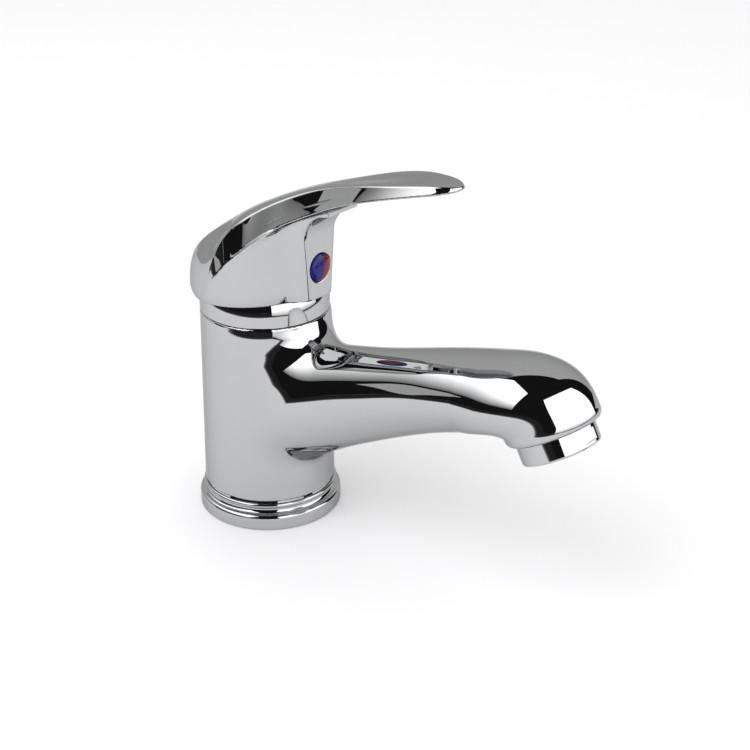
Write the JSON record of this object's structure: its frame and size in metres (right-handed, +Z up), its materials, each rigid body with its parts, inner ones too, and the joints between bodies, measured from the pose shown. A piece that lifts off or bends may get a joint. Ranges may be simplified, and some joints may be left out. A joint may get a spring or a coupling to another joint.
{
  "type": "bathroom mixer faucet",
  "caption": "Single-lever chrome basin mixer with a curved cast spout, aerator, flanged base and hooded lever that lifts and turns.",
  "frame": {"origin": "centre of the base, on the deck that the faucet stands on", "axes": "+X along the spout and the lever, +Z up, Y across"},
  "size_m": [0.1567, 0.05, 0.1338],
  "materials": {
    "chrome_body": "polished chrome plate on cast brass",
    "chrome_ring": "polished chrome plate on turned brass",
    "chrome_handle": "polished chrome plate on cast zinc",
    "brass": "plain machined brass",
    "steel": "machined stainless steel",
    "rubber": "matt black rubber",
    "ceramic": "lapped alumina",
    "cartridge_plastic": "moulded acetal",
    "aerator_plastic": "moulded acetal",
    "blue_plastic": "glossy blue",
    "red_plastic": "glossy red"
  },
  "bodies": {
    "body": {"body_casting": "chrome_body", "base_ring": "chrome_ring", "base_gasket": "rubber", "collar": "chrome_ring", "cartridge_nut": "brass", "cartridge_housing": "cartridge_plastic", "cartridge_base": "cartridge_plastic", "port_seals": "rubber", "fixed_ceramic_disc": "ceramic", "aerator_gasket": "rubber", "aerator_body": "aerator_plastic", "aerator_screens": "steel", "aerator_ring": "chrome_ring", "aerator_grid": "aerator_plastic"},
    "rotor": {"lever_rotor": "cartridge_plastic", "rotor_o_ring": "rubber", "pivot_pin": "steel"},
    "discs": {"disc_carrier": "cartridge_plastic", "moving_ceramic_disc": "ceramic"},
    "lever": {"lever_spindle": "brass", "handle": "chrome_handle", "grub_screw": "steel", "button_holder": "cartridge_plastic", "button_blue": "blue_plastic", "button_red": "red_plastic"}
  },
  "joints": [
    {"name": "handle_turn", "type": "hinge", "parent": "body", "child": "rotor", "pos_m": [0, 0, 0.07], "axis": [0, 0, 1], "range_deg": [-50, 50]},
    {"name": "handle_lift", "type": "hinge", "parent": "rotor", "child": "lever", "pos_m": [0, 0, 0.07], "axis": [0, -1, 0], "range_deg": [0, 24]},
    {"name": "disc_slide", "type": "slide", "parent": "rotor", "child": "discs", "axis": [1, 0, 0], "range_m": [0, 0.00378]}
  ],
  "couplings": [
    {"joint": "disc_slide", "follows": "handle_lift", "m_per_rad": 0.009}
  ]
}
